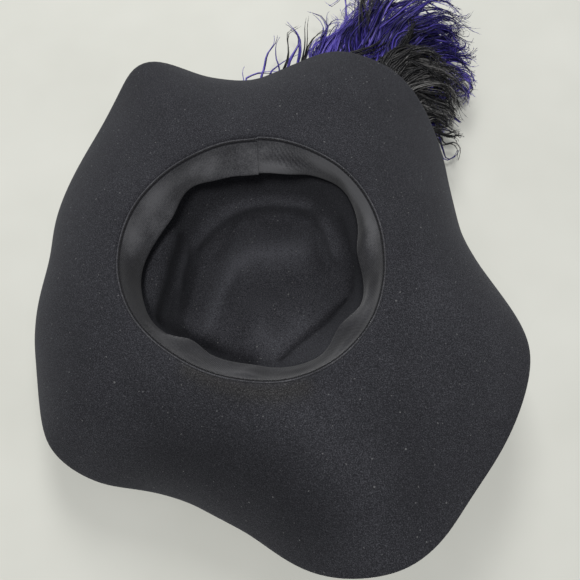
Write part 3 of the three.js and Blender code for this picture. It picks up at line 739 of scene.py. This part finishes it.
# %% Bundles and single stray barbs, in millimetres
# Feather, share of the quill, how many barbs, how far they spread, and the points.
BUNDLES = [
    ("black", 0.60, 14, 3.0, [(95, 235, 34), (97, 256, 38), (97, 279, 46), (96, 280, 60), (92, 261, 71),
      (92, 243, 73), (94, 226, 70)]),
    ("black", 0.62, 8, 3.0, [(101, 235, 34), (102, 256, 38), (104, 279, 46), (105, 280, 60),
      (104, 259, 70), (101, 244, 72), (99, 231, 69)]),
    ("black", 0.66, 12, 3.0, [(94, 180, 62), (109, 203, 58), (122, 210, 58), (130, 220, 60),
      (136, 234, 60), (139, 248, 58), (133, 253, 56)]),
    ("black", 0.68, 9, 4.0, [(95, 180, 62), (111, 203, 58), (124, 212, 58), (134, 228, 58),
      (146, 237, 56), (159, 232, 50)]),
    ("black", 0.60, 7, 5.0, [(78, 212, 46), (91, 218, 48), (108, 225, 48), (124, 240, 46), (133, 258, 44)]),
    ("purple", 0.30, 1, 1.0, [(-14, 190, 42), (-16, 202, 44), (-15, 209, 44)]),
    ("purple", 0.30, 2, 2.0, [(-15, 191, 41), (-8, 200, 43), (6, 201, 46), (20, 201, 47)]),
    ("purple", 0.36, 2, 1.5, [(1, 192, 43), (4, 206, 47), (7, 219, 48), (14, 231, 48), (15, 243, 46)]),
    ("purple", 0.38, 1, 1.0, [(18, 199, 45), (15, 214, 48), (13, 229, 48), (15, 240, 46)]),
    ("purple", 0.36, 1, 1.0, [(7, 193, 45), (18, 208, 47), (37, 218, 46)]),
    ("black", 0.42, 2, 1.0, [(20, 193, 53), (26, 207, 56), (26, 221, 56), (25, 231, 54), (26, 237, 54),
      (36, 247, 52)]),
    ("purple", 0.42, 2, 1.5, [(26, 206, 48), (31, 219, 50), (36, 229, 50), (35, 240, 50), (29, 250, 48),
      (24, 257, 46)]),
    ("purple", 0.43, 2, 1.5, [(35, 211, 46), (37, 225, 48), (37, 236, 48), (32, 247, 46)]),
    ("black", 0.46, 2, 1.0, [(36, 201, 54), (40, 215, 58), (41, 229, 58), (40, 242, 56), (39, 256, 54)]),
    ("black", 0.48, 2, 1.0, [(40, 206, 54), (46, 222, 58), (54, 232, 58), (61, 237, 56), (73, 238, 52)]),
    ("purple", 0.47, 2, 1.0, [(54, 225, 44), (56, 239, 46), (62, 248, 46), (61, 258, 44), (57, 266, 44),
      (45, 274, 42)]),
    ("purple", 0.48, 2, 1.0, [(56, 227, 44), (61, 245, 46), (65, 254, 46), (72, 260, 44), (78, 260, 44),
      (85, 254, 42)]),
    ("purple", 0.52, 2, 1.0, [(67, 229, 42), (80, 260, 44), (80, 291, 44), (75, 284, 46), (70, 276, 46),
      (64, 276, 46), (61, 282, 44)]),
    ("purple", 0.46, 2, 1.5, [(42, 217, 45), (49, 227, 46), (56, 237, 44)]),
    ("black", 1.00, 2, 2.0, [(158, 138, 40), (162, 130, 40), (172, 132, 38), (177, 126, 36),
      (175, 116, 34)]),
    ("purple", 1.00, 2, 2.0, [(163, 142, 28), (165, 134, 27), (169, 124, 26), (177, 128, 25),
      (181, 136, 24)]),
    ("purple", 0.98, 5, 4.0, [(161, 163, 30), (172, 169, 28), (184, 163, 26)]),
    ("purple", 0.70, 3, 3.0, [(119, 216, 44), (139, 251, 48), (160, 279, 46), (171, 278, 44),
      (183, 282, 42)]),
]
print("guides:", len(PURPLE_GUIDES), len(BLACK_GUIDES), "bundles:", len(BUNDLES))

# %% [markdown]
# ### From guides to barbs
#
# A barb between two guides takes its shape from both. Barbs cling together in small tufts, so each
# bends towards the middle strand of its tuft and only its tip springs free. Nothing may poke
# through the brim, so a ray from below finds the felt and each point stays under it.

# %% Lines between guides
# How many points a barb has, and how far each stays from the felt above it and from the floor.
STATIONS = 18
FELT_ROOM = 2.5
FLOOR_ROOM = 4.0


def sample(places, shares, values):
    """Vectors at places, from the vectors known at shares."""
    return np.stack([np.interp(places, shares, values[:, k]) for k in range(3)], axis=1)


def guide_line(quill, share, points):
    """A guide as evenly spaced points, from the quill to its tip."""
    rough = along(np.vstack([along(quill, share), points]), np.linspace(0, 1, 60))
    steps = np.r_[0.0, np.cumsum(np.linalg.norm(np.diff(rough, axis=0), axis=1))]
    return sample(np.linspace(0, steps[-1], STATIONS), steps, rough)


def between(quill, shares, lines, share):
    k = int(np.clip(np.searchsorted(shares, share) - 1, 0, len(shares) - 2))
    w = np.clip((share - shares[k]) / (shares[k + 1] - shares[k]), 0.0, 1.0)
    line = (1 - w) * lines[k] + w * lines[k + 1]
    ease = (1 - np.linspace(0, 1, STATIONS)[:, None]) ** 2
    return line + (along(quill, share) - line[0]) * ease


def keep_under_brim(line):
    """Lowers the points that would touch the felt above them."""
    for point in line:
        hit = felt_tree.ray_cast(Vector((point[0] * MM, point[1] * MM, -0.02)), Vector((0, 0, 1)))[0]
        if hit is not None:
            point[2] = min(point[2], hit.z / MM - FELT_ROOM)
        point[2] = max(point[2], FLOOR_ROOM)
    return line


print("stations on a barb:", STATIONS)

# %% Tufts of barbs
t = np.linspace(0, 1, STATIONS)[:, None]


def habit(reach, wave, hook):
    """How one barb wanders, in radians: its lean, its waves and the hook at its tip."""
    return {
        "lean": reach * chance.normal(),
        "climb": 0.3 * reach * chance.normal(),
        "wave": wave * chance.uniform(0.6, 1.3),
        "swings": chance.uniform(1.2, 3.0),
        "phase": chance.uniform(0, 2 * math.pi),
        "hook": hook * chance.normal(),
    }


def wander(line, own):
    """Turns each step of a line after a habit, so that it leans, waves and hooks its tip."""
    steps = np.diff(line, axis=0)
    done = np.linspace(0, 1, STATIONS - 1)
    swing = 2 * math.pi * own["swings"] * done + own["phase"]
    angle = own["lean"] * done + own["wave"] * np.minimum(3 * done, 1) * np.sin(swing)
    angle = angle + own["hook"] * np.clip((done - 0.6) / 0.4, 0, 1) ** 1.5
    rise = own["wave"] * 0.5 * np.sin(swing + 1.6) * done + own["climb"]
    cos, sin = np.cos(angle), np.sin(angle)
    flat = np.hypot(steps[:, 0], steps[:, 1])
    along_x, along_y = steps[:, 0] * cos - steps[:, 1] * sin, steps[:, 0] * sin + steps[:, 1] * cos
    turned = np.stack([along_x, along_y, steps[:, 2] + flat * rise], axis=1)
    return np.vstack([line[:1], line[0] + np.cumsum(turned, axis=0)])


def tufts(make_line, low, high, count, tuft, reach, wave, hook, cling, tones=((0.0, 0.4),)):
    """Barbs with their tones, in tufts that cling together and curl alike.

    low and high are the shares of the quill that they cover, and tones gives the tone at such shares.
    """
    lines = []
    for _ in range(count // tuft):
        middle_share = chance.uniform(low, high)
        shared = habit(reach, wave, hook)
        middle = wander(make_line(middle_share), shared)
        long = chance.uniform(0.82, 1.0)
        tone = np.interp(middle_share, *zip(*tones)) + 0.13 * chance.normal()
        for _ in range(tuft):
            share = float(np.clip(middle_share + chance.normal() * 0.014, low, high))
            own = habit(reach, wave, 0.35 * hook)
            for key in ("swings", "phase", "climb"):
                own[key] = shared[key] + 0.12 * own[key]
            own["hook"] += shared["hook"]
            line = wander(make_line(share), own)
            hold = cling * (1 - fade(t, 0.1, 0.7)) * (0.45 + 0.55 * fade(t, 0.75, 1.0))
            line = line * (1 - hold) + middle * hold
            line = along(line, np.linspace(0, long * chance.uniform(0.88, 1.0), STATIONS))
            lines.append((keep_under_brim(line), tone))
    return lines


print("helpers for tufts are ready")

# %% [markdown]
# ### Barbs and barbules as one mesh
#
# A barb is a tube of four sides that tapers to its tip. Its barbules leave both sides at a small
# angle and are shorter towards the tip, which makes the strand pointed. A number called tone is
# kept on every corner, so that the finish can vary from barb to barb and from root to tip.


# %% Mesh of a feather's barbs
SIDES = 4


def feather_mesh(name, lines, thickness, fringe, needle, per_side, spread):
    """Barbs of a thickness, with per_side barbules of length fringe and thickness needle."""
    corners, faces, tones = [], [], []
    first = 0
    ring = np.radians(360.0 / SIDES * np.arange(SIDES))
    share = np.linspace(0, 1, STATIONS)
    for line, tone in lines:
        run = np.gradient(line, axis=0)
        run /= np.linalg.norm(run, axis=1)[:, None] + 1e-9
        side = np.cross(run, [0.0, 0.0, 1.0])
        side /= np.linalg.norm(side, axis=1)[:, None] + 1e-9
        up = np.cross(side, run)
        swell = chance.uniform(0.7, 1.25)
        width = thickness * swell * (0.5 + 0.5 * np.minimum(share / 0.3, 1)) * (1 - share**1.6) + 0.07
        tone = np.clip(tone + 0.2 * chance.normal(), 0.02, 0.98)
        around = side[:, None] * np.cos(ring)[None, :, None] + up[:, None] * 0.6 * np.sin(ring)[None, :, None]
        corners.append((line[:, None] + around * width[:, None, None]).reshape(-1, 3))
        uneven = 0.1 * chance.normal(size=STATIONS)
        tones.append(np.repeat(np.clip(tone + uneven - 0.05 * share, 0, 1), SIDES))
        for i in range(STATIONS - 1):
            for k in range(SIDES):
                a, b = first + SIDES * i + k, first + SIDES * i + (k + 1) % SIDES
                faces.append((a, a + SIDES, b + SIDES, b))
        end = first + SIDES * (STATIONS - 1)
        faces += [tuple(range(first, first + SIDES)), tuple(range(end + SIDES - 1, end - 1, -1))]
        first = end + SIDES
        # Barbules: the first three corners are a needle's foot and the fourth its point.
        count = 2 * per_side
        places = np.sort(chance.uniform(0.1, 0.98, count))
        at, ahead, aside, above = (sample(places, share, v) for v in (line, run, side, up))
        sign = np.where(np.arange(count) % 2 == 0, 1.0, -1.0)
        lean = np.radians(chance.normal(spread, spread * 0.35, count))
        rise = chance.normal(0.0, 0.16, count)
        way = ahead * np.cos(lean)[:, None] + aside * (np.sin(lean) * sign)[:, None] + above * rise[:, None]
        long = fringe * chance.uniform(0.5, 1.1, count) * np.clip(1.3 - places, 0.35, 1.0)
        foot_side, foot_up = aside * needle, above * needle
        back = at - 0.5 * foot_side
        foot = [at + foot_side, back + 0.87 * foot_up, back - 0.87 * foot_up]
        corners.append(np.stack([*foot, at + way * long[:, None]], axis=1).reshape(-1, 3))
        tips = np.clip(tone + chance.normal(0.0, 0.14, count), 0.0, 1.0)
        tones.append(np.stack([tips, tips, tips, np.clip(tips + 0.14, 0, 1)], axis=1).ravel())
        for a in range(first, first + 4 * count, 4):
            faces += [(a, a + 2, a + 1), (a, a + 1, a + 3), (a + 1, a + 2, a + 3), (a + 2, a, a + 3)]
        first += 4 * count
    return mesh_piece(name, np.vstack(corners) * MM, faces, np.concatenate(tones))


# %% Fans that show past the brim
def fan(quill, guides):
    shares = np.array([share for share, _ in guides])
    lines = [guide_line(quill, share, points) for share, points in guides]
    return lambda share: between(quill, shares, lines, share)


purple_fan = fan(PURPLE_QUILL, PURPLE_GUIDES)
black_fan = fan(BLACK_QUILL, BLACK_GUIDES)
purple_tones = ((0.5, 0.56), (0.59, 0.5), (0.64, 0.24), (0.78, 0.24), (0.84, 0.34), (1.0, 0.36))
purple_left = tufts(purple_fan, 0.49, 0.78, 426, 6, 0.14, 0.5, 2.0, 0.75, purple_tones)
purple_right = tufts(purple_fan, 0.74, 1.00, 318, 6, 0.14, 0.52, 2.3, 0.75, purple_tones)
black_over = tufts(black_fan, 0.67, 1.00, 390, 5, 0.11, 0.5, 1.2, 0.7, ((0.0, 0.43),))
print("barbs:", len(purple_left), len(purple_right), len(black_over))

# %% Bundles and strays
QUILLS = {"purple": PURPLE_QUILL, "black": BLACK_QUILL}
STRAY_TONES = {"purple": 0.5, "black": 0.3}
stray = {"purple": [], "black": []}
for colour, share, count, spread, points in BUNDLES:
    line = guide_line(QUILLS[colour], share, points)
    for _ in range(count):
        aside = spread * 0.5 * chance.normal(size=3) if count > 1 else np.zeros(3)
        own = habit(0.01 + 0.006 * spread, 0.06, 0.12)
        stray[colour].append((keep_under_brim(wander(line + aside, own)), STRAY_TONES[colour]))
print("strays:", {colour: len(lines) for colour, lines in stray.items()})

# %% [markdown]
# ### The side that the brim hides
#
# The barbs on the crown's side, and those near the pin, lie under the brim, where only a view from
# below or from the side finds them. They follow a rule: leave the quill at an angle, bend back
# towards its tip, stop short of the crown and keep their height between floor and felt.


# %% Barbs by rule
# No barb comes nearer to the middle of the crown than this, in millimetres.
CROWN_ROOM = 104.0


def swept(quill, rise, side, lengths):
    """Barbs on one side of a quill. lengths gives their length at shares of the quill."""

    def make_line(share):
        root = along(quill, share)
        ahead = along(quill, min(share + 0.01, 1.0)) - along(quill, max(share - 0.01, 0.0))
        heading = math.atan2(ahead[1], ahead[0])
        length = np.interp(share, *zip(*lengths))
        line = [root]
        for k in range(1, STATIONS):
            done = k / (STATIONS - 1)
            bearing = heading + side * math.radians(58.0 - 40.0 * done)
            way = np.array([math.cos(bearing), math.sin(bearing), -0.25 * done * rise])
            line.append(line[-1] + way * length / (STATIONS - 1))
        line = np.array(line)
        away = np.hypot(line[:, 0], line[:, 1])
        line[:, :2] *= (np.maximum(away, CROWN_ROOM) / away)[:, None]
        return line

    return make_line


purple_rule = swept(PURPLE_QUILL, 0.3, -1.0, [(0.3, 26), (0.5, 60), (0.75, 82), (0.95, 60), (1.0, 40)])
purple_start = swept(PURPLE_QUILL, 0.3, 1.0, [(0.28, 22), (0.38, 42), (0.5, 62)])
black_rule = swept(BLACK_QUILL, 0.6, -1.0, [(0.3, 16), (0.5, 34), (0.8, 60), (1.0, 36)])
black_start = swept(BLACK_QUILL, 0.6, 1.0, [(0.3, 24), (0.5, 60), (0.7, 72)])
purple_hidden = tufts(purple_rule, 0.32, 1.00, 130, 4, 0.12, 0.3, 0.8, 0.6)
purple_hidden += tufts(purple_start, 0.28, 0.50, 60, 4, 0.12, 0.3, 0.8, 0.6)
black_hidden = tufts(black_rule, 0.34, 1.00, 110, 4, 0.1, 0.3, 0.7, 0.6)
black_hidden += tufts(black_start, 0.30, 0.68, 90, 4, 0.1, 0.3, 0.7, 0.6)
print("hidden barbs:", len(purple_hidden), len(black_hidden))

# %% Feather meshes
purple_pieces = [
    feather_mesh("purple_fan_left", purple_left, 0.9, 5.5, 0.28, 24, 15.0),
    feather_mesh("purple_fan_right", purple_right, 0.9, 5.5, 0.28, 24, 15.0),
    feather_mesh("purple_under_brim", purple_hidden, 0.95, 6.0, 0.26, 24, 15.0),
    feather_mesh("purple_strays", stray["purple"], 1.5, 4.0, 0.34, 44, 12.0),
]
black_pieces = [
    feather_mesh("black_fan", black_over, 0.8, 5.0, 0.32, 28, 18.0),
    feather_mesh("black_under_brim", black_hidden, 0.95, 6.0, 0.26, 24, 15.0),
    feather_mesh("black_strays", stray["black"], 1.2, 4.5, 0.32, 40, 12.0),
]
print({p.name: triangles(p) for p in purple_pieces + black_pieces})


# %% [markdown]
# ## How the feathers look
#
# Dyed ostrich is soft but not dull: each barbule catches the light along its length. Both finishes
# read the tone kept on the mesh and turn it into a range of colours, from nearly black in the depth
# of a tuft to a light tint on single barbules.


# %% Feather finishes
def feather_finish(name, stops, roughness):
    dye = Finish(name)
    tone = dye.sums("MULTIPLY_ADD", dye.noise(160.0, 2.0), 0.5, dye.kept("tone"))
    dye.shade(dye.ramp(tone, stops), roughness, {"Specular IOR Level": 0.3})
    return dye.material


purple_stops = [(0.35, 0.006, 0.0045, 0.04), (0.6, 0.018, 0.012, 0.13), (0.85, 0.07, 0.05, 0.36)]
purple_stops += [(1.0, 0.18, 0.14, 0.56)]
black_stops = [(0.35, 0.004, 0.004, 0.005), (0.65, 0.013, 0.013, 0.014), (0.88, 0.046, 0.0445, 0.044)]
black_stops += [(1.0, 0.15, 0.146, 0.142)]
purple_dye = feather_finish("purple_ostrich", purple_stops, 0.42)
black_dye = feather_finish("black_ostrich", black_stops, 0.38)
horn = Finish("dyed_quill")
grain = horn.noise(220.0, 3.0)
horn.shade(horn.ramp(grain, [(0.3, 0.014, 0.013, 0.014), (0.75, 0.05, 0.045, 0.04)]), 0.35)
horn.bump(grain, 0.2 * MM, 0.4)

for piece in purple_pieces:
    piece.data.materials.append(purple_dye)
for piece in black_pieces:
    piece.data.materials.append(black_dye)
for piece, slot in zip(quills, ("purple_feather", "black_feather")):
    piece.data.materials.append(horn.material)
for piece in purple_pieces + black_pieces + quills:
    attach(piece, "root")
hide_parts("plume_purple")
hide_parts("plume_black")

# %% [markdown]
# ## The staple
#
# A wire staple holds both quills to the crown. Its solid has the right shape, so the copy only gets
# rounded edges and a dark metal finish.

# %% Staple
staple = copy_of("plume_pin", "plume_staple")
round_edges(staple, 0.35 * MM, 40.0)
bpy.ops.object.shade_smooth_by_angle(angle=math.radians(40))
steel = Finish("dark_wire")
worn = steel.ramp(steel.noise(500.0, 3.0), [(0.35, 0.02, 0.02, 0.02), (0.7, 0.09, 0.09, 0.095)])
steel.shade(worn, 0.4, {"Metallic": 0.9})
staple.data.materials.append(steel.material)
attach(staple, "root")
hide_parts("plume_pin")
print("staple triangles:", triangles(staple))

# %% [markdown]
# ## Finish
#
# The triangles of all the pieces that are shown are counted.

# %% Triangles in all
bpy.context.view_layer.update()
shown = [o for o in bpy.data.objects if o.type == "MESH" and not o.hide_render]
print("triangles in all:", sum(triangles(o) for o in shown))
